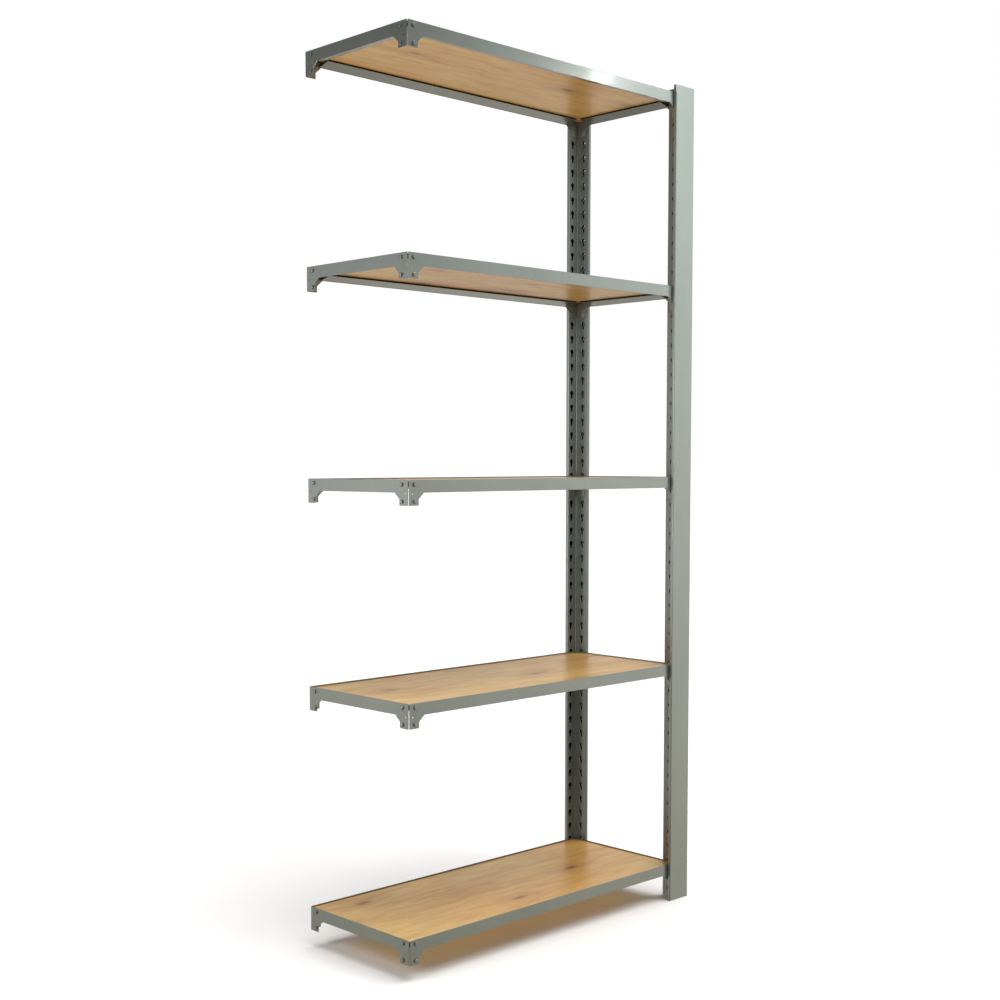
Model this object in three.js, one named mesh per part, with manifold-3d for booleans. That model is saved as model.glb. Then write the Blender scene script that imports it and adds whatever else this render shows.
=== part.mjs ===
// Add-on bay of boltless keyhole shelving: two T-section posts at the right-hand end, and five
// shelves whose four lipped beams hook into the posts' keyholes and carry a loose board.
// Millimetres. +X runs to the right along the front, +Y to the back, +Z up.

import * as THREE from 'three';
import { mergeVertices } from 'three/addons/utils/BufferGeometryUtils.js';
import Module from 'manifold-3d';

const wasm = await Module();
wasm.setup();

// Overall sizes.
const POST_HEIGHT = 2240;
const DEPTH = 400;
const BAY_PITCH = 1000; // post centre to post centre
const SHEET = 1.5; // cold-rolled steel sheet
const GAP = 0.3; // between pieces that touch

// Post section: a closed hollow T, its plain bar outwards and its stem towards the other post.
const BAR_WIDTH = 78;
const BAR_DEPTH = 10;
const STEM_WIDTH = 10;
const STEM_REACH = 44; // beyond the bar
const FLANGE_WIDTH = (BAR_WIDTH - STEM_WIDTH) / 2;

// Keyholes: a column on each inner flange face and on each stem wall.
const HOLE_PITCH = 40;
const HOLE_COUNT = 56;
const FIRST_SEAT = 11.5; // stud axis in the lowest keyhole
const FLANGE_COLUMN = 20; // from the stem wall
const STEM_COLUMN = 24; // from the flange face
const KEYHOLE = [
  [-3.3, -3], [3.3, -3], [3.3, 7.2], [6.6, 11], [4, 19], [-4, 19], [-6.6, 11], [-3.3, 7.2],
]; // about the seated stud's axis, z upwards

// Shelves, from the top one down, by the keyhole that takes each lower stud.
const SHELF_KEYHOLES = [54, 41, 28, 15, 1];
const BEAM_TOP = 50.75; // above the lower stud
const BEAM_HEIGHT = 30;
const BRACKET_HEIGHT = 60;
const END_GAP = 2.5; // beam end to the wall it runs up to
const LEG_WIDTH = 30;
const GUSSET_WIDTH = 47; // at the beam's lower edge
const GUSSET_HEIGHT = 15;
const LIP_START = 42; // from the beam's end
const LIP_REACH = 36; // inwards from the beam's outer face
const LIP_RISE = 9; // of its inner edge above the beam's bottom

// Studs on the end brackets.
const STUD_RADIUS = 2.5;
const STUD_HEAD_RADIUS = 5;
const STUD_HEAD = 1.6;
const STUD_SIDES = 6;

// Boards.
const BOARD_THICKNESS = 13;
const BOARD_DROP = 3; // below the beams' top edges
const BOARD_CLEARANCE = 2;

// Planes of the bay, measured from the right posts' left edge and from the front face.
const RIGHT_WALL = FLANGE_WIDTH;
const LEFT_WALL = RIGHT_WALL + STEM_WIDTH - BAY_PITCH;
const FRONT_WALL = BAR_DEPTH;
const REAR_WALL = DEPTH - BAR_DEPTH;
const STUD_REACH = SHEET + 2 * GAP + STUD_HEAD;
const LEFT_END = LEFT_WALL + GAP - STUD_REACH;
const CENTRE_X = (LEFT_END + BAR_WIDTH) / 2;
const CENTRE_Y = DEPTH / 2;

const paint = new THREE.MeshStandardMaterial({ color: 0xb1bab4, roughness: 0.38, metalness: 0.45 });
const wood = new THREE.MeshStandardMaterial({ color: 0xc4a57c, roughness: 0.6, metalness: 0 });

// Turns a three.js geometry into a manifold solid.
function solid(geometry) {
  const bare = new THREE.BufferGeometry();
  bare.setAttribute('position', geometry.getAttribute('position'));
  if (geometry.index) bare.setIndex(geometry.index);
  const welded = mergeVertices(bare, 1e-4);
  return new wasm.Manifold(new wasm.Mesh({
    numProp: 3,
    vertProperties: new Float32Array(welded.getAttribute('position').array),
    triVerts: new Uint32Array(welded.index.array),
  }));
}

// Turns a manifold solid back into a three.js geometry with flat-shaded faces.
function geometryOf(body) {
  const mesh = body.getMesh();
  const indexed = new THREE.BufferGeometry();
  const count = mesh.vertProperties.length / mesh.numProp;
  const points = new Float32Array(count * 3);
  for (let i = 0; i < count; i += 1) {
    for (let axis = 0; axis < 3; axis += 1) {
      points[i * 3 + axis] = mesh.vertProperties[i * mesh.numProp + axis];
    }
  }
  indexed.setAttribute('position', new THREE.BufferAttribute(points, 3));
  indexed.setIndex(new THREE.BufferAttribute(new Uint32Array(mesh.triVerts), 1));
  const flat = indexed.toNonIndexed();
  flat.computeVertexNormals();
  return flat;
}

// Extrudes an outline by depth along its own +Z, then places it with a matrix.
function prism(outline, depth, matrix) {
  const shape = new THREE.Shape(outline.map(([u, v]) => new THREE.Vector2(u, v)));
  const geometry = new THREE.ExtrudeGeometry(shape, { depth, bevelEnabled: false, steps: 1 });
  if (matrix) geometry.applyMatrix4(matrix);
  return solid(geometry);
}

// A matrix whose columns are the given axes and origin.
function placed(xAxis, yAxis, zAxis, origin) {
  const matrix = new THREE.Matrix4().makeBasis(
    new THREE.Vector3(...xAxis),
    new THREE.Vector3(...yAxis),
    new THREE.Vector3(...zAxis),
  );
  return matrix.setPosition(...origin);
}

// Outline of the T section, drawn in by the given amount on every side.
function teeOutline(inset) {
  const mid = BAR_WIDTH / 2;
  const half = STEM_WIDTH / 2 - inset;
  return [
    [inset, inset],
    [BAR_WIDTH - inset, inset],
    [BAR_WIDTH - inset, BAR_DEPTH - inset],
    [mid + half, BAR_DEPTH - inset],
    [mid + half, BAR_DEPTH + STEM_REACH - inset],
    [mid - half, BAR_DEPTH + STEM_REACH - inset],
    [mid - half, BAR_DEPTH - inset],
    [inset, BAR_DEPTH - inset],
  ];
}

// One post with its bar's plain face on Y = 0 and its stem towards +Y.
function buildPost() {
  const hollow = new THREE.Matrix4().makeTranslation(0, 0, -1);
  const tube = prism(teeOutline(0), POST_HEIGHT)
    .subtract(prism(teeOutline(SHEET), POST_HEIGHT + 2, hollow));
  const holes = [];
  const cut = SHEET + 1;
  for (let k = 0; k < HOLE_COUNT; k += 1) {
    const z = FIRST_SEAT + HOLE_PITCH * k;
    const farWall = RIGHT_WALL + STEM_WIDTH;
    for (const x of [RIGHT_WALL - FLANGE_COLUMN, farWall + FLANGE_COLUMN]) {
      const at = [x, BAR_DEPTH + 0.5, z];
      holes.push(prism(KEYHOLE, cut, placed([1, 0, 0], [0, 0, 1], [0, -1, 0], at)));
    }
    const y = BAR_DEPTH + STEM_COLUMN;
    const left = [RIGHT_WALL - 0.5, y, z];
    const right = [farWall + 0.5, y, z];
    holes.push(prism(KEYHOLE, cut, placed([0, 1, 0], [0, 0, 1], [1, 0, 0], left)));
    holes.push(prism(KEYHOLE, cut, placed([0, -1, 0], [0, 0, 1], [-1, 0, 0], right)));
  }
  return tube.subtract(wasm.Manifold.union(holes));
}

// One stud standing out of the face Y = 0 towards -Y, its axis through (x, z).
function stud(x, z) {
  const shaftLength = SHEET + 2 * GAP + 0.5;
  const shaft = new THREE.CylinderGeometry(STUD_RADIUS, STUD_RADIUS, shaftLength, STUD_SIDES);
  shaft.translate(x, 0.5 - shaftLength / 2, z);
  const head = new THREE.CylinderGeometry(
    STUD_HEAD_RADIUS, STUD_HEAD_RADIUS, STUD_HEAD, STUD_SIDES,
  );
  head.translate(x, -(SHEET + 2 * GAP) - STUD_HEAD / 2, z);
  return solid(shaft).add(solid(head));
}

// Section of the lip, inwards and up from the beam's lower outer edge: an easy slope under the
// board, then a short upright hem that the board lies on.
function lipOutline() {
  const slope = LIP_RISE / LIP_REACH;
  const upper = SHEET * Math.hypot(1, slope);
  const hemFoot = LIP_REACH - SHEET;
  const hemTop = BEAM_HEIGHT - BOARD_DROP - BOARD_THICKNESS - GAP;
  return [
    [0, 0],
    [LIP_REACH, LIP_RISE],
    [LIP_REACH, hemTop],
    [hemFoot, hemTop],
    [hemFoot, slope * hemFoot + upper],
    [SHEET, slope * SHEET + upper],
    [0, slope * SHEET + upper],
  ];
}

// One beam along +X from the origin, outer face on Y = 0, inside towards +Y, its lower studs
// at z = 0. The end brackets are one piece with the beam's web.
function buildBeam(length, studInset) {
  const bottom = BEAM_TOP - BEAM_HEIGHT;
  const foot = BEAM_TOP - BRACKET_HEIGHT;
  const gussetFoot = bottom - GUSSET_HEIGHT;
  const face = [
    [0, foot],
    [LEG_WIDTH, foot],
    [LEG_WIDTH, gussetFoot],
    [GUSSET_WIDTH, bottom],
    [length - GUSSET_WIDTH, bottom],
    [length - LEG_WIDTH, gussetFoot],
    [length - LEG_WIDTH, foot],
    [length, foot],
    [length, BEAM_TOP],
    [0, BEAM_TOP],
  ];
  const upright = placed([1, 0, 0], [0, 0, 1], [0, -1, 0], [0, SHEET, 0]);
  const along = placed([0, 1, 0], [0, 0, 1], [1, 0, 0], [LIP_START, 0, bottom]);
  const lip = prism(lipOutline(), length - 2 * LIP_START, along);
  let beam = prism(face, SHEET, upright).add(lip);
  for (const x of [studInset, length - studInset]) {
    beam = beam.add(stud(x, 0)).add(stud(x, HOLE_PITCH));
  }
  return beam;
}

function named(name, geometry, material) {
  const mesh = new THREE.Mesh(geometry, material);
  mesh.name = name;
  return mesh;
}

const bay = new THREE.Group();
bay.position.set(-CENTRE_X, -CENTRE_Y, 0);

// Posts: the rear one is the front one turned about, so its stem points forwards.
const postGeometry = geometryOf(buildPost());
const frontPost = named('front_post', postGeometry, paint);
const rearPost = named('rear_post', postGeometry.clone(), paint);
rearPost.rotation.z = Math.PI;
rearPost.position.set(BAR_WIDTH, DEPTH, 0);
bay.add(frontPost, rearPost);

// Beams: long ones lie on the posts' flanges, short ones on their stem walls.
const longLength = RIGHT_WALL - LEFT_WALL - 2 * END_GAP;
const shortLength = REAR_WALL - FRONT_WALL - 2 * END_GAP;
const longBeam = geometryOf(buildBeam(longLength, FLANGE_COLUMN - END_GAP));
const shortBeam = geometryOf(buildBeam(shortLength, STEM_COLUMN - END_GAP));

SHELF_KEYHOLES.forEach((keyhole, index) => {
  const shelf = new THREE.Group();
  shelf.position.z = FIRST_SEAT + HOLE_PITCH * keyhole;
  const prefix = `shelf_${index + 1}`;

  const front = named(`${prefix}_front_beam`, longBeam.clone(), paint);
  front.position.set(LEFT_WALL + END_GAP, FRONT_WALL + GAP, 0);

  const rear = named(`${prefix}_rear_beam`, longBeam.clone(), paint);
  rear.rotation.z = Math.PI;
  rear.position.set(RIGHT_WALL - END_GAP, REAR_WALL - GAP, 0);

  const right = named(`${prefix}_right_beam`, shortBeam.clone(), paint);
  right.rotation.z = Math.PI / 2;
  right.position.set(RIGHT_WALL - GAP, FRONT_WALL + END_GAP, 0);

  const left = named(`${prefix}_left_beam`, shortBeam.clone(), paint);
  left.rotation.z = -Math.PI / 2;
  left.position.set(LEFT_WALL + GAP, REAR_WALL - END_GAP, 0);

  const inset = GAP + SHEET + BOARD_CLEARANCE;
  const boardLength = RIGHT_WALL - LEFT_WALL - 2 * inset;
  const boardDepth = REAR_WALL - FRONT_WALL - 2 * inset;
  const plank = new THREE.BoxGeometry(boardLength, boardDepth, BOARD_THICKNESS);
  const board = named(`${prefix}_board`, plank, wood);
  const boardZ = BEAM_TOP - BOARD_DROP - BOARD_THICKNESS / 2;
  board.position.set((LEFT_WALL + RIGHT_WALL) / 2, CENTRE_Y, boardZ);

  shelf.add(front, rear, right, left, board);
  bay.add(shelf);
});

export default bay;
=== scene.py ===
"""Add-on bay of boltless keyhole shelving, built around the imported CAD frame."""
import math

import bmesh
import bpy
from mathutils import Matrix, Vector
from mathutils.geometry import tessellate_polygon


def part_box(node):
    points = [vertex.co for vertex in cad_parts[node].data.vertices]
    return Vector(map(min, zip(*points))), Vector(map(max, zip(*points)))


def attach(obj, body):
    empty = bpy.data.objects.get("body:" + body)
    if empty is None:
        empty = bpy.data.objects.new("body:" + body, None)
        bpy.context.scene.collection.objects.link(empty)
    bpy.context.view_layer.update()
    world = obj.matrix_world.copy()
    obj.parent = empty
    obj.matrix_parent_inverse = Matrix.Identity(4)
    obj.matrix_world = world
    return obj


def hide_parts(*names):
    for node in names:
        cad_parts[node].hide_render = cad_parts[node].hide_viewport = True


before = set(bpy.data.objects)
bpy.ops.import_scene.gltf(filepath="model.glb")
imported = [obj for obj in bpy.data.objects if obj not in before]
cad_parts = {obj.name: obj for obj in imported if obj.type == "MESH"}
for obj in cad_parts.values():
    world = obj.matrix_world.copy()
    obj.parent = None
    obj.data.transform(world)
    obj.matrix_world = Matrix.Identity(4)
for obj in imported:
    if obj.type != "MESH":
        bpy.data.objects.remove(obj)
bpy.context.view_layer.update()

MM = 0.001

# Sizes in millimetres, as in the CAD.
POST_HEIGHT = 2240.0
BAR_WIDTH = 78.0
BAR_DEPTH = 10.0
STEM_WIDTH = 10.0
STEM_REACH = 44.0
STEM_MID = BAR_WIDTH / 2
STEM_LEFT = STEM_MID - STEM_WIDTH / 2
SHEET = 1.5
GAP = 0.3
HOLE_PITCH = 40.0
HOLE_COUNT = 56
FIRST_SEAT = 11.5
FLANGE_COLUMN = 20.0
STEM_COLUMN = 24.0
SHELVES = 5
BEAM_TOP = 50.75
BEAM_HEIGHT = 30.0
BRACKET_HEIGHT = 60.0
LEG_WIDTH = 30.0
GUSSET_WIDTH = 47.0
GUSSET_HEIGHT = 15.0
LIP_START = 42.0
LIP_REACH = 36.0
LIP_RISE = 9.0
BOARD_DROP = 3.0
BOARD_THICKNESS = 13.0
END_GAP = 2.5
STUD_REACH = SHEET + 2 * GAP + 1.6

# Details too fine for the CAD, in millimetres.
EDGE_RADIUS = 2.2
ROOT_RADIUS = 1.0
BEND_RADIUS = 2.6
HEAD_RADIUS = 6.6
HEAD_RISE = 12.5
SLOT_HALF = 3.3
RIM = 0.35
PANEL_HALF = 8.0
PLATE_EDGE = 0.3
LOCK_RADIUS = 1.6
LOCK_RISE = 27.6
LOCK_INSET = 13.0
BOARD_EDGE = 0.8
BEND_STEP = 3.0
LEVEL_TOLERANCE = 1e-3

# The stud as (radius, distance inwards from the web's outer face).
STUD_PROFILE = [
    (3.9, -STUD_REACH),
    (4.8, -STUD_REACH + 0.5),
    (4.8, -STUD_REACH + 1.6),
    (2.4, -STUD_REACH + 1.6),
    (2.4, -0.02),
    (4.6, -0.02 + SHEET),
    (4.4, SHEET + 0.5),
    (3.4, SHEET + 0.9),
    (1.6, SHEET + 0.9),
    (1.2, SHEET + 0.5),
    (0.6, SHEET + 0.45),
]

# How far the paint is darkened towards black as painted shade: wholly on the sheet metal's inner faces, in
# part on the posts' stems.
INSIDE_SHADE = 1.0
RECESS_SHADE = 0.3

# Light that glossy faces reflect: (height or side component of the direction, colour).
ROOM_BY_HEIGHT = [
    (-0.6, (0.38, 0.35, 0.30)),
    (-0.25, (0.50, 0.47, 0.38)),
    (0.0, (0.90, 0.90, 0.88)),
    (0.12, (0.62, 0.63, 0.63)),
    (0.24, (0.06, 0.05, 0.05)),
    (0.9, (0.04, 0.04, 0.04)),
]
ROOM_BY_SIDE = [
    (-0.8, (1.3, 1.3, 1.32)),
    (0.0, (1.0, 1.0, 1.0)),
]
GLOW_BY_HEIGHT = [
    (-0.5, (0.26, 0.24, 0.18)),
    (-0.1, (0.38, 0.37, 0.33)),
    (0.05, (0.45, 0.48, 0.46)),
    (0.26, (0.92, 1.02, 1.00)),
    (0.7, (0.2, 0.2, 0.2)),
]
GLOW_BY_SIDE = [
    (0.65, (0.0, 0.0, 0.0)),
    (0.84, (2.05, 2.05, 2.05)),
]
FRONT_BY_HEIGHT = [
    (-0.10, (0.01, 0.01, 0.01)),
    (0.03, (1.6, 1.7, 1.75)),
    (0.15, (2.2, 2.4, 2.5)),
]
BACKDROP_BY_HEIGHT = [
    (-0.7, (0.65, 0.60, 0.54)),
    (-0.45, (0.78, 0.74, 0.66)),
    (-0.3, (0.70, 0.68, 0.60)),
    (-0.1, (0.95, 0.95, 0.90)),
    (0.3, (0.90, 0.90, 0.84)),
    (0.8, (0.35, 0.35, 0.35)),
]
BACKDROP_BY_SIDE = [
    (0.46, (0.12, 0.12, 0.13)),
    (0.64, (1.0, 1.0, 1.0)),
]
# Light that falls on every face.
DOME_BY_HEIGHT = [
    (-0.1, (0.82, 0.79, 0.70)),
    (0.1, (0.35, 0.35, 0.35)),
]
TOWARDS_FRONT = (-0.72, -0.69, 0.0)
TOWARDS_BACK = (0.72, 0.69, 0.0)

FLOOR_HALF = 200.0
FLOOR_WHITE = 0.96

SUN_FROM = (0.3, -0.35, 1.6)
SUN_STRENGTH = 2.8
SUN_ANGLE = 60
LAMPS = [
    {
        "name": "key", "location": (0.75, -0.85, 2.25), "target": (0.48, -0.2, 1.95),
        "size": (0.4, 0.4), "power": 4.8, "colour": (0.90, 1.0, 0.97), "spread": 100,
        "glossy": False,
    },
    {
        "name": "spark", "location": (1.75, -1.6, 2.75), "target": (0.1, -0.2, 2.2),
        "size": (0.08, 0.08), "power": 1.25, "diffuse": False,
    },
    {
        "name": "fill", "location": (-1.75, 0.1, 1.2), "target": (-0.5, 0.0, 1.2),
        "size": (0.5, 0.8), "power": 10,
    },
]

CAMERA_AT = (-2.7434, -2.7335, 1.22565)
CAMERA_YAW = 43.62
CAMERA_PITCH = -3.467
CAMERA_LENS = 52.886
CAMERA_SENSOR = 36.0
CAMERA_SHIFT = (0.03, 0.05)


# Meshes.

def arc(centre, radius, start, end, steps):
    """Points on a circular arc, angles in degrees, both ends included."""
    points = []
    for i in range(steps + 1):
        angle = math.radians(start + (end - start) * i / steps)
        points.append((centre[0] + radius * math.cos(angle), centre[1] + radius * math.sin(angle)))
    return points


def rounded(outline, radii, steps=4):
    """The outline with each corner rounded by its own radius."""
    points = []
    count = len(outline)
    for i in range(count):
        here = Vector(outline[i])
        radius = radii[i]
        if radius <= 0:
            points.append(tuple(here))
            continue
        before = (Vector(outline[i - 1]) - here).normalized()
        after = (Vector(outline[(i + 1) % count]) - here).normalized()
        half = before.angle(after) / 2
        reach = radius / math.tan(half)
        start = here + before * reach
        end = here + after * reach
        centre = here + (before + after).normalized() * (radius / math.sin(half))
        first = start - centre
        turn = first.angle_signed(end - centre)
        for k in range(steps + 1):
            step = first.copy()
            step.rotate(Matrix.Rotation(-turn * k / steps, 2))
            points.append(tuple(centre + step))
    return points


def keyhole(grow=0.0):
    """Outline of a keyhole about the seated stud's axis, grown by the given amount."""
    half = SLOT_HALF + grow
    head = HEAD_RADIUS + grow
    spread = math.degrees(math.asin(half / head))
    points = arc((0, 0), half, 180, 360, 6)
    points += arc((0, HEAD_RISE), head, -90 + spread, 270 - spread, 16)
    return points


class Builder:
    """Collects faces into one mesh, in millimetres. Each face keeps the painted shade set when it is made.
    """

    def __init__(self):
        self.bm = bmesh.new()
        self.layer = self.bm.faces.layers.float.new("painted_shade")
        self.shade = 0.0

    def face(self, points, smooth=False):
        verts = [self.bm.verts.new(Vector(p) * MM) for p in points]
        made = self.bm.faces.new(verts)
        made.smooth = smooth
        made[self.layer] = self.shade

    def strip(self, loop_a, loop_b, smooth=False):
        """Quads between two closed loops of equal length."""
        count = len(loop_a)
        for i in range(count):
            j = (i + 1) % count
            self.face([loop_a[i], loop_a[j], loop_b[j], loop_b[i]], smooth)

    def plate(self, outline, holes, place):
        """A flat face with holes. place turns 2-D points into 3-D ones."""
        loops = [outline] + holes
        flat = [p for loop in loops for p in loop]
        triangles = tessellate_polygon([[Vector((p[0], p[1], 0)) for p in loop] for loop in loops])
        for triangle in triangles:
            self.face([place(*flat[i]) for i in triangle])

    def mesh(self, name, weld=0.02):
        """The finished mesh, with points closer than weld joined."""
        bmesh.ops.remove_doubles(self.bm, verts=self.bm.verts, dist=weld * MM)
        bmesh.ops.recalc_face_normals(self.bm, faces=self.bm.faces)
        data = bpy.data.meshes.new(name)
        self.bm.to_mesh(data)
        self.bm.free()
        return data


def tee(inset):
    """Outline of the post's section, drawn in by inset, with its bends rounded."""
    half = STEM_WIDTH / 2 - inset
    far = BAR_DEPTH + STEM_REACH - inset
    outline = [
        (inset, inset),
        (BAR_WIDTH - inset, inset),
        (BAR_WIDTH - inset, BAR_DEPTH - inset),
        (STEM_MID + half, BAR_DEPTH - inset),
        (STEM_MID + half, far),
        (STEM_MID - half, far),
        (STEM_MID - half, BAR_DEPTH - inset),
        (inset, BAR_DEPTH - inset),
    ]
    outer = EDGE_RADIUS - inset
    root = ROOT_RADIUS + inset
    radii = [outer, outer, outer, root, outer, outer, root, outer]
    return rounded(outline, [max(r, 0.3) for r in radii])


def hole_panels():
    """The flat strips that carry keyholes, as (middle, direction across, inward normal) in the section."""
    right = STEM_LEFT + STEM_WIDTH
    return [
        ((STEM_LEFT - FLANGE_COLUMN, BAR_DEPTH), (1, 0), (0, -1)),
        ((right + FLANGE_COLUMN, BAR_DEPTH), (1, 0), (0, -1)),
        ((STEM_LEFT, BAR_DEPTH + STEM_COLUMN), (0, 1), (1, 0)),
        ((right, BAR_DEPTH + STEM_COLUMN), (0, 1), (-1, 0)),
    ]


def corner_key(point):
    return (round(point[0], 4), round(point[1], 4))


def split_at_panels(loop):
    """Adds the keyhole strips' edges to a section loop and says where each strip's span starts."""
    points = list(loop)
    spans = set()
    for mid, across, _ in hole_panels():
        axis = 0 if across[0] else 1
        fixed = 1 - axis
        for i in range(len(points)):
            start, end = points[i], points[(i + 1) % len(points)]
            level = abs(start[fixed] - end[fixed]) < LEVEL_TOLERANCE
            near = abs(start[fixed] - mid[fixed]) < SHEET + 0.1
            low, high = sorted((start[axis], end[axis]))
            covers = low < mid[axis] - PANEL_HALF and high > mid[axis] + PANEL_HALF
            if level and near and covers:
                way = 1 if end[axis] > start[axis] else -1
                first = list(start)
                second = list(start)
                first[axis] = mid[axis] - way * PANEL_HALF
                second[axis] = mid[axis] + way * PANEL_HALF
                points[i + 1:i + 1] = [tuple(first), tuple(second)]
                spans.add(corner_key(first))
                break
    return points, spans


def add_walls(b, loop, spans, inner):
    """The post's walls between its keyhole strips, one pitch at a time."""
    count = len(loop)
    for i in range(count):
        a, c = loop[i], loop[(i + 1) % count]
        if corner_key(a) in spans:
            continue
        # Painted shade: the sheet's inner faces are drawn near black and the stems' outer faces partly
        # darkened.
        on_stem = min(a[1], c[1]) > BAR_DEPTH + 1
        b.shade = INSIDE_SHADE if inner else RECESS_SHADE if on_stem else 0.0
        curved = math.dist(a, c) < BEND_STEP
        for k in range(HOLE_COUNT):
            low = HOLE_PITCH * k
            high = HOLE_PITCH * (k + 1)
            b.face([(*a, low), (*c, low), (*c, high), (*a, high)], curved)
    b.shade = 0.0


def add_keyhole(b, panel, base):
    """One pitch of a keyhole strip: both faces of the sheet and the rimmed hole between them."""
    mid, across, inward = panel

    def at(u, v, depth):
        return (
            mid[0] + across[0] * u + inward[0] * depth,
            mid[1] + across[1] * u + inward[1] * depth,
            base + v,
        )

    border = [(-PANEL_HALF, 0), (PANEL_HALF, 0), (PANEL_HALF, HOLE_PITCH), (-PANEL_HALF, HOLE_PITCH)]
    rim = [(u, v + FIRST_SEAT) for u, v in keyhole(RIM)]
    bore = [(u, v + FIRST_SEAT) for u, v in keyhole()]
    # Painted shade: the stem strips' outer face is partly darkened and the inner face drawn near black, so
    # the keyholes look dark.
    b.shade = RECESS_SHADE if inward[0] else 0.0
    b.plate(border, [rim], lambda u, v: at(u, v, 0))
    b.shade = INSIDE_SHADE
    b.plate(border, [bore], lambda u, v: at(u, v, SHEET))
    b.shade = 0.0
    rings = [
        [at(u, v, 0) for u, v in rim],
        [at(u, v, RIM) for u, v in bore],
        [at(u, v, SHEET) for u, v in bore],
    ]
    for outer, inner in zip(rings, rings[1:]):
        b.strip(outer, inner, smooth=True)


def post_mesh():
    """One post, plain face on Y = 0 and stem towards +Y, made of one closed sheet."""
    b = Builder()
    loops = []
    for inset in (0.0, SHEET):
        loop, spans = split_at_panels(tee(inset))
        add_walls(b, loop, spans, inset > 0)
        loops.append(loop)
    outer, inner = loops
    for z in (0.0, POST_HEIGHT):
        b.plate(outer, [inner], lambda u, v, z=z: (u, v, z))
    for k in range(HOLE_COUNT):
        for panel in hole_panels():
            add_keyhole(b, panel, HOLE_PITCH * k)
    return b.mesh("post")


def lathe(b, profile, centre, steps=20):
    """Turns (radius, height) points about an axis along Y through centre."""
    rings = []
    for radius, height in profile:
        ring = []
        for i in range(steps):
            angle = math.tau * i / steps
            ring.append((
                centre[0] + radius * math.cos(angle),
                centre[1] + height,
                centre[2] + radius * math.sin(angle),
            ))
        rings.append(ring)
    for low, high in zip(rings, rings[1:]):
        b.strip(low, high, smooth=True)
    b.face(rings[0])
    b.face(rings[-1])


def drawn_in(loop, amount):
    """The loop with each corner moved inwards, for a chamfer."""
    points = []
    count = len(loop)
    for i in range(count):
        before = Vector(loop[i]) - Vector(loop[i - 1])
        after = Vector(loop[(i + 1) % count]) - Vector(loop[i])
        normal = Vector((-before.y, before.x)).normalized() + Vector((-after.y, after.x)).normalized()
        scale = amount / max(0.3, normal.length_squared / 2)
        points.append((loop[i][0] + normal.x * scale, loop[i][1] + normal.y * scale))
    return points


def bevelled_plate(b, outline, holes, depth, edge):
    """A plate from y = 0 to depth, with the edges of its outline and holes chamfered."""
    loops = [(loop, drawn_in(loop, edge)) for loop in [outline] + holes]
    faces = [inner for _, inner in loops]
    for y in (0.0, depth):
        b.plate(faces[0], faces[1:], lambda u, v, y=y: (u, y, v))
    for outer, inner in loops:
        levels = [(inner, 0.0), (outer, edge), (outer, depth - edge), (inner, depth)]
        for (low, y_low), (high, y_high) in zip(levels, levels[1:]):
            b.strip([(u, y_low, v) for u, v in low], [(u, y_high, v) for u, v in high])


def lip_section():
    """The lip's section, inwards and up from the beam's lower outer edge, with its bends."""
    slope = LIP_RISE / LIP_REACH
    upper = SHEET * math.hypot(1, slope)
    hem_foot = LIP_REACH - SHEET
    hem_top = BEAM_HEIGHT - BOARD_DROP - BOARD_THICKNESS - GAP
    root = BEND_RADIUS + 3
    outline = [
        ((0, 0), BEND_RADIUS),
        ((LIP_REACH, LIP_RISE), 0.6),
        ((LIP_REACH, hem_top), 0.3),
        ((hem_foot, hem_top), 0.3),
        ((hem_foot, slope * hem_foot + upper), 0.5),
        ((SHEET, slope * SHEET + upper), BEND_RADIUS - SHEET),
        ((SHEET, root), 0),
        ((0, root), 0),
    ]
    return rounded([p for p, _ in outline], [r for _, r in outline], 5)


def web_outline(length):
    """The beam's web with its two brackets, as (along, up) from the lower studs' level."""
    bottom = BEAM_TOP - BEAM_HEIGHT
    foot = BEAM_TOP - BRACKET_HEIGHT
    half = [
        ((0, BEAM_TOP), 1.0),
        ((0, foot), 1.5),
        ((LEG_WIDTH, foot), 2.0),
        ((LEG_WIDTH, bottom - GUSSET_HEIGHT), 1.0),
        ((GUSSET_WIDTH, bottom), 0.8),
    ]
    points = [p for p, _ in half] + [(length - p[0], p[1]) for p, _ in reversed(half)]
    radii = [r for _, r in half] + [r for _, r in reversed(half)]
    return rounded(points, radii)


def web_mesh(name, length):
    """The web with a lock hole in each bracket."""
    height = BEAM_TOP - BRACKET_HEIGHT + LOCK_RISE
    inset = LOCK_INSET - END_GAP
    holes = []
    for x in (inset, length - inset):
        holes.append(list(reversed(arc((x, height), LOCK_RADIUS, 0, 360 - 22.5, 15))))
    web = Builder()
    bevelled_plate(web, web_outline(length), holes, SHEET, PLATE_EDGE)
    return web.mesh(name)


def lip_mesh(name, length):
    """The lip between the brackets. The hem's inner face, hidden under the board, gets painted shade: near
    black, for the shadow in the gap below the board.
    """
    bottom = BEAM_TOP - BEAM_HEIGHT
    lip = Builder()
    rings = []
    for x in (LIP_START, length - LIP_START):
        rings.append([(x, u, v + bottom) for u, v in lip_section()])
    hem = LIP_REACH - 0.01
    for i in range(len(rings[0])):
        j = (i + 1) % len(rings[0])
        a, c = rings[0][i], rings[0][j]
        # Painted shade on the hem's inner face, for the shadow under the board.
        lip.shade = INSIDE_SHADE if min(a[1], c[1]) > hem else 0.0
        lip.face([a, c, rings[1][j], rings[1][i]])
    lip.shade = 0.0
    for ring in rings:
        lip.face(ring)
    return lip.mesh(name + "_lip")


def stud_meshes(name, length, inset):
    """The four studs of a beam."""
    studs = Builder()
    for x in (inset, length - inset):
        for z in (0.0, HOLE_PITCH):
            lathe(studs, STUD_PROFILE, (x, 0.0, z))
    return studs.mesh(name + "_studs", 0.001)


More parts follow.
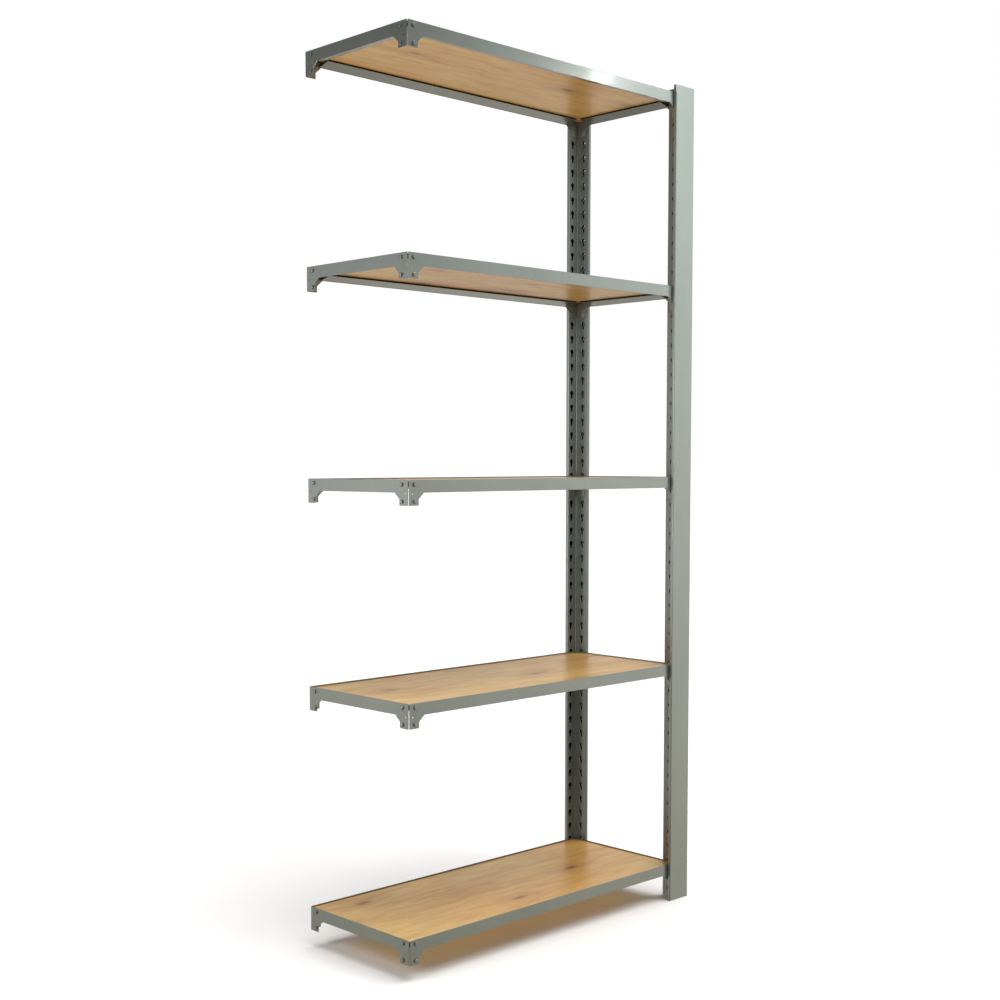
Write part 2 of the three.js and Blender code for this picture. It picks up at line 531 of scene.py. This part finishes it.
def union(name, first, second):
    """The union of two closed meshes."""
    a = bpy.data.objects.new(name + "_a", first)
    c = bpy.data.objects.new(name + "_c", second)
    for made in (a, c):
        bpy.context.scene.collection.objects.link(made)
    modifier = a.modifiers.new("union", "BOOLEAN")
    modifier.operation = "UNION"
    modifier.solver = "EXACT"
    modifier.object = c
    bpy.context.view_layer.update()
    graph = bpy.context.evaluated_depsgraph_get()
    data = bpy.data.meshes.new_from_object(a.evaluated_get(graph))
    for made in (a, c):
        bpy.data.objects.remove(made)
    return data


def beam_mesh(name, length, stud_inset):
    """One beam along +X, outer face on Y = 0, lower studs at z = 0."""
    data = union(name, web_mesh(name, length), lip_mesh(name, length))
    bm = bmesh.new()
    bm.from_mesh(data)
    bm.from_mesh(stud_meshes(name, length, stud_inset))
    bm.to_mesh(data)
    bm.free()
    return data


def board_mesh(name, low, high):
    """A board with lightly eased edges, between two corners in metres."""
    bm = bmesh.new()
    bmesh.ops.create_cube(bm, size=1.0)
    bmesh.ops.scale(bm, vec=high - low, verts=bm.verts)
    bmesh.ops.bevel(
        bm, geom=bm.edges, offset=BOARD_EDGE * MM, segments=2, affect="EDGES", profile=0.5,
    )
    bmesh.ops.translate(bm, vec=(low + high) / 2, verts=bm.verts)
    data = bpy.data.meshes.new(name)
    bm.to_mesh(data)
    bm.free()
    return data


# Materials.

def srgb(r, g, b):
    """A colour given as 0-255 sRGB, in linear RGBA."""
    def line(c):
        c /= 255
        return c / 12.92 if c <= 0.04045 else ((c + 0.055) / 1.055) ** 2.4
    return (line(r), line(g), line(b), 1.0)


def grey(value):
    return (value, value, value, 1.0)


class Nodes:
    """Small helper round a node tree. Values may be constants or sockets."""

    def __init__(self, tree):
        self.tree = tree

    def add(self, kind, **values):
        node = self.tree.nodes.new(kind)
        for key, value in values.items():
            setattr(node, key, value)
        return node

    def link(self, source, target):
        self.tree.links.new(source, target)

    def fill(self, socket, value):
        """Sets a socket to a constant, or links it to another socket."""
        if isinstance(value, (float, tuple)):
            socket.default_value = value
        else:
            self.link(value, socket)

    def mapped(self, scale, source):
        node = self.add("ShaderNodeMapping")
        node.inputs["Scale"].default_value = scale
        self.link(source, node.inputs["Vector"])
        return node.outputs["Vector"]

    def noise(self, vector, scale, detail=4.0, rough=0.55):
        node = self.add("ShaderNodeTexNoise")
        node.inputs["Scale"].default_value = scale
        node.inputs["Detail"].default_value = detail
        node.inputs["Roughness"].default_value = rough
        self.link(vector, node.inputs["Vector"])
        return node.outputs["Fac"]

    def ramp(self, source, *stops):
        """A colour from (place, colour) stops, places from 0 to 1."""
        node = self.add("ShaderNodeValToRGB")
        elements = node.color_ramp.elements
        while len(elements) < len(stops):
            elements.new(0.5)
        for element, (place, colour) in zip(elements, stops):
            element.position = place
            element.color = colour
        self.link(source, node.inputs["Fac"])
        return node.outputs["Color"]

    def mix(self, factor, a, b, blend="MIX"):
        node = self.add("ShaderNodeMix", data_type="RGBA", blend_type=blend)
        self.fill(node.inputs[0], factor)
        self.fill(node.inputs[6], a)
        self.fill(node.inputs[7], b)
        return node.outputs[2]

    def to_range(self, source, low, high, from_low=0.0, from_high=1.0, kind="LINEAR"):
        node = self.add("ShaderNodeMapRange", interpolation_type=kind)
        self.link(source, node.inputs["Value"])
        node.inputs["From Min"].default_value = from_low
        node.inputs["From Max"].default_value = from_high
        node.inputs["To Min"].default_value = low
        node.inputs["To Max"].default_value = high
        return node.outputs["Result"]

    def math(self, operation, a, b):
        node = self.add("ShaderNodeMath", operation=operation)
        self.fill(node.inputs[0], a)
        self.fill(node.inputs[1], b)
        return node.outputs["Value"]

    def split(self, vector):
        node = self.add("ShaderNodeSeparateXYZ")
        self.link(vector, node.inputs[0])
        return node.outputs

    def bump(self, height, strength, distance, normal=None):
        node = self.add("ShaderNodeBump")
        node.inputs["Strength"].default_value = strength
        node.inputs["Distance"].default_value = distance
        self.link(height, node.inputs["Height"])
        if normal:
            self.link(normal, node.inputs["Normal"])
        return node.outputs["Normal"]


def new_material(name):
    """A material, the helper round its nodes and its shader's inputs."""
    material = bpy.data.materials.new(name)
    material.use_nodes = True
    tree = material.node_tree
    return material, Nodes(tree), tree.nodes["Principled BSDF"].inputs


def paint_material():
    """Satin grey powder coat: metallic flecks, orange peel and a slow wave in the sheet, with painted
    shade towards black on the faces marked for it.
    """
    material, n, shader = new_material("satin_grey_paint")
    at = n.add("ShaderNodeTexCoord").outputs["Object"]
    cloudy = n.noise(n.mapped((3.0, 3.0, 1.2), at), 2.0, 3.0)
    tone = n.ramp(cloudy, (0.3, srgb(131, 137, 131)), (0.7, srgb(141, 147, 141)))
    fleck = n.noise(at, 900.0, 2.0)
    speckled = n.mix(0.14, tone, n.ramp(fleck, (0.35, grey(0.25)), (0.65, grey(0.8))))
    # Painted shade: faces are mixed towards near black by the shade attribute each face carries.
    shade = n.add("ShaderNodeAttribute", attribute_name="painted_shade").outputs["Fac"]
    n.link(n.mix(shade, speckled, grey(0.004)), shader["Base Color"])
    shader["Metallic"].default_value = 0.75
    n.link(n.to_range(n.noise(at, 14.0), 0.28, 0.34), shader["Roughness"])
    shader["Coat Weight"].default_value = 0.3
    shader["Coat Roughness"].default_value = 0.11
    peel = n.bump(n.noise(at, 350.0, 2.0), 0.05, 0.0003)
    n.link(n.bump(n.noise(at, 6.0, 2.0), 0.12, 0.002, peel), shader["Normal"])
    return material


def knots(n, at):
    """A wide halo and a small heart, each 0 to 1, for a few cells of a stretched Voronoi pattern."""
    cells = n.add("ShaderNodeTexVoronoi", feature="F1", voronoi_dimensions="2D")
    cells.inputs["Scale"].default_value = 1.0
    n.link(n.mapped((2.6, 8.0, 2.0), at), cells.inputs["Vector"])
    random = n.add("ShaderNodeSeparateColor")
    n.link(cells.outputs["Color"], random.inputs["Color"])
    chosen = n.to_range(random.outputs["Red"], 0.0, 1.0, 0.35, 0.5)
    distance = cells.outputs["Distance"]
    halo = n.math("MULTIPLY", n.to_range(distance, 1.0, 0.0, 0.0, 0.34), chosen)
    heart = n.math("MULTIPLY", n.to_range(distance, 1.0, 0.0, 0.02, 0.085), chosen)
    return halo, heart


def along_grain(n, at, halo):
    """The board's coordinate bent so that the grain wanders and swings round the knots."""
    wander = n.noise(n.mapped((2.2, 5.0, 5.0), at), 1.0, 3.0, 0.5)
    bend = n.math("MULTIPLY", n.math("ADD", wander, n.math("MULTIPLY", halo, 0.7)), 0.045)
    offset = n.add("ShaderNodeCombineXYZ")
    n.link(bend, offset.inputs["Y"])
    bent = n.add("ShaderNodeVectorMath", operation="ADD")
    n.link(at, bent.inputs[0])
    n.link(offset.outputs["Vector"], bent.inputs[1])
    return bent.outputs["Vector"]


def wood_material():
    """Oak decor: bands along the board, streaks that bend round knots, and short dark pores."""
    material, n, shader = new_material("oak_decor_board")
    object_at = n.add("ShaderNodeTexCoord").outputs["Object"]
    # Each board shows another part of the pattern.
    shift = n.add("ShaderNodeVectorMath", operation="MULTIPLY_ADD")
    n.link(n.add("ShaderNodeObjectInfo").outputs["Random"], shift.inputs[0])
    shift.inputs[1].default_value = (7.0, 3.0, 5.0)
    n.link(object_at, shift.inputs[2])
    at = shift.outputs["Vector"]
    halo, heart = knots(n, at)
    along = along_grain(n, at, halo)

    bands = n.noise(n.mapped((1.3, 9.0, 1.0), along), 2.0, 4.0, 0.6)
    colour = n.ramp(
        bands,
        (0.28, srgb(192, 143, 71)),
        (0.44, srgb(204, 161, 88)),
        (0.56, srgb(212, 173, 100)),
        (0.68, srgb(202, 158, 87)),
        (0.80, srgb(215, 178, 108)),
    )
    streaks = n.noise(n.mapped((7.0, 50.0, 2.0), along), 1.4, 5.0)
    streaky = n.ramp(
        streaks,
        (0.34, srgb(205, 180, 150)),
        (0.50, srgb(248, 244, 238)),
        (0.64, grey(1.0)),
    )
    colour = n.mix(0.3, colour, streaky, "MULTIPLY")
    pores = n.noise(n.mapped((16.0, 420.0, 2.0), along), 1.3, 2.0, 0.5)
    dashes = n.ramp(pores, (0.30, srgb(120, 84, 50)), (0.37, grey(1.0)))
    colour = n.mix(0.38, colour, dashes, "MULTIPLY")
    blush = n.noise(n.mapped((1.6, 4.5, 1.0), at), 1.5, 2.0, 0.5)
    warm = n.ramp(blush, (0.45, grey(1.0)), (0.68, srgb(250, 228, 202)))
    colour = n.mix(0.8, colour, warm, "MULTIPLY")
    colour = n.mix(n.math("MULTIPLY", halo, 0.5), colour, srgb(152, 92, 38))
    colour = n.mix(n.math("MULTIPLY", heart, 0.8), colour, srgb(104, 52, 14))

    # The cut edges show bare chipboard.
    normal = n.split(n.add("ShaderNodeNewGeometry").outputs["True Normal"])
    face = n.to_range(n.math("ABSOLUTE", normal["Z"], 0.0), 0.0, 1.0, 0.4, 0.6)
    chips = n.ramp(n.noise(object_at, 420.0, 3.0), (0.35, srgb(70, 50, 32)), (0.65, srgb(124, 98, 68)))
    n.link(n.mix(face, chips, colour), shader["Base Color"])
    n.link(n.to_range(streaks, 0.40, 0.32, 0.3, 0.7), shader["Roughness"])
    shader["Specular IOR Level"].default_value = 0.7
    n.link(n.bump(pores, 0.06, 0.0003), shader["Normal"])
    return material


# Pieces.

def piece(name, data, material, body, node, matrix=None):
    """Adds one visible piece that rides a body and replaces a CAD node."""
    data.materials.clear()
    data.materials.append(material)
    made = bpy.data.objects.new(name, data)
    if matrix is not None:
        made.matrix_world = matrix
    bpy.context.scene.collection.objects.link(made)
    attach(made, body)
    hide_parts(node)


def turned(degrees, x, y, z):
    return Matrix.Translation((x, y, z)) @ Matrix.Rotation(math.radians(degrees), 4, "Z")


def add_posts(paint):
    post = post_mesh()
    low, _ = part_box("front_post")
    _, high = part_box("rear_post")
    front = turned(0, low.x, low.y, 0)
    rear = turned(180, high.x, high.y, 0)
    piece("front_post_sheet", post, paint, "posts", "front_post", front)
    piece("rear_post_sheet", post.copy(), paint, "posts", "rear_post", rear)


def add_shelves(paint, wood):
    low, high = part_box("shelf_1_front_beam")
    long_beam = beam_mesh("long_beam", (high.x - low.x) / MM, FLANGE_COLUMN - END_GAP)
    low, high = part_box("shelf_1_right_beam")
    short_beam = beam_mesh("short_beam", (high.y - low.y) / MM, STEM_COLUMN - END_GAP)
    stud = STUD_REACH * MM
    for number in range(1, SHELVES + 1):
        shelf = f"shelf_{number}"
        box = {side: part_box(f"{shelf}_{side}_beam") for side in ("front", "rear", "right", "left")}
        z = box["front"][1].z - BEAM_TOP * MM
        places = {
            "front": (long_beam, turned(0, box["front"][0].x, box["front"][0].y + stud, z)),
            "rear": (long_beam, turned(180, box["rear"][1].x, box["rear"][1].y - stud, z)),
            "right": (short_beam, turned(90, box["right"][1].x - stud, box["right"][0].y, z)),
            "left": (short_beam, turned(-90, box["left"][0].x + stud, box["left"][1].y, z)),
        }
        for side, (data, matrix) in places.items():
            beam = f"{shelf}_{side}_beam"
            piece(beam + "_sheet", data.copy(), paint, shelf, beam, matrix)
        board = f"{shelf}_board"
        plank = board_mesh(f"{shelf}_plank", *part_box(board))
        piece(f"{shelf}_plank", plank, wood, f"board_{number}", board)


# Floor, light and camera.

def add_floor(scene):
    """A pale floor that takes shadows but stays out of reflections and bounced light."""
    data = bpy.data.meshes.new("floor")
    half = FLOOR_HALF
    corners = [(-half, -half, 0), (half, -half, 0), (half, half, 0), (-half, half, 0)]
    data.from_pydata(corners, [], [(0, 1, 2, 3)])
    material, _, shader = new_material("pale_floor")
    shader["Base Color"].default_value = grey(FLOOR_WHITE)
    shader["Roughness"].default_value = 0.9
    data.materials.append(material)
    floor = bpy.data.objects.new("floor", data)
    scene.collection.objects.link(floor)
    floor.visible_glossy = False
    floor.visible_diffuse = False


def studio_world():
    """White behind the object, a soft dome that lights it and the room that it reflects."""
    world = bpy.data.worlds.new("studio")
    world.use_nodes = True
    n = Nodes(world.node_tree)
    direction = n.add("ShaderNodeTexCoord").outputs["Generated"]
    component = n.split(direction)

    def sky(axis, stops):
        """A colour that depends on one component of the direction, from -1 to 1."""
        share = n.to_range(component[axis], 0.0, 1.0, -1.0, 1.0)
        return n.ramp(share, *[((place + 1) / 2, (*colour, 1.0)) for place, colour in stops])

    def toward(axis, low, high):
        """0 to 1 as the direction turns towards an axis."""
        facing = n.add("ShaderNodeVectorMath", operation="DOT_PRODUCT")
        n.link(direction, facing.inputs[0])
        facing.inputs[1].default_value = axis
        return n.to_range(facing.outputs["Value"], 0.0, 1.0, low, high, "SMOOTHSTEP")

    def product(a, b):
        return n.mix(1.0, a, b, "MULTIPLY")

    room = product(sky("Z", ROOM_BY_HEIGHT), sky("X", ROOM_BY_SIDE))
    glow = product(sky("Z", GLOW_BY_HEIGHT), sky("X", GLOW_BY_SIDE))
    backdrop = product(sky("Z", BACKDROP_BY_HEIGHT), sky("X", BACKDROP_BY_SIDE))
    reflected = n.mix(1.0, room, glow, "ADD")
    in_front = toward(TOWARDS_FRONT, 0.55, 0.85)
    reflected = n.mix(in_front, reflected, sky("Z", FRONT_BY_HEIGHT), "MULTIPLY")
    reflected = n.mix(toward(TOWARDS_BACK, 0.25, 0.7), reflected, backdrop)
    path = n.add("ShaderNodeLightPath")
    colour = n.mix(path.outputs["Is Glossy Ray"], sky("Z", DOME_BY_HEIGHT), reflected)
    colour = n.mix(path.outputs["Is Camera Ray"], colour, grey(1.0))
    n.link(colour, world.node_tree.nodes["Background"].inputs["Color"])
    return world


def aimed(scene, name, lamp, location, target):
    made = bpy.data.objects.new(name, lamp)
    made.location = location
    made.rotation_mode = "QUATERNION"
    made.rotation_quaternion = (Vector(target) - Vector(location)).to_track_quat("-Z", "Y")
    scene.collection.objects.link(made)
    return made


def add_sun(scene):
    lamp = bpy.data.lights.new("overhead", "SUN")
    lamp.energy = SUN_STRENGTH
    lamp.angle = math.radians(SUN_ANGLE)
    aimed(scene, "overhead", lamp, SUN_FROM, (0, 0, 0))


def add_lamp(scene, name, location, target, size, power, colour=(1.0, 1.0, 1.0), spread=180,
             diffuse=True, glossy=True):
    lamp = bpy.data.lights.new(name, "AREA")
    lamp.shape = "RECTANGLE"
    lamp.size, lamp.size_y = size
    lamp.energy = power
    lamp.color = colour
    lamp.spread = math.radians(spread)
    made = aimed(scene, name, lamp, location, target)
    made.visible_camera = False
    made.visible_diffuse = diffuse
    made.visible_glossy = glossy


def add_camera(scene):
    data = bpy.data.cameras.new("camera")
    data.sensor_width = CAMERA_SENSOR
    data.lens = CAMERA_LENS
    data.shift_x, data.shift_y = CAMERA_SHIFT
    camera = bpy.data.objects.new("camera", data)
    camera.location = CAMERA_AT
    camera.rotation_euler = (math.radians(90 + CAMERA_PITCH), 0.0, math.radians(-CAMERA_YAW))
    scene.collection.objects.link(camera)
    scene.camera = camera


paint_finish = paint_material()
wood_finish = wood_material()
add_posts(paint_finish)
add_shelves(paint_finish, wood_finish)

scene = bpy.context.scene
add_floor(scene)
scene.world = studio_world()
add_sun(scene)
for lamp_values in LAMPS:
    add_lamp(scene, **lamp_values)
add_camera(scene)
scene.view_settings.view_transform = "Standard"
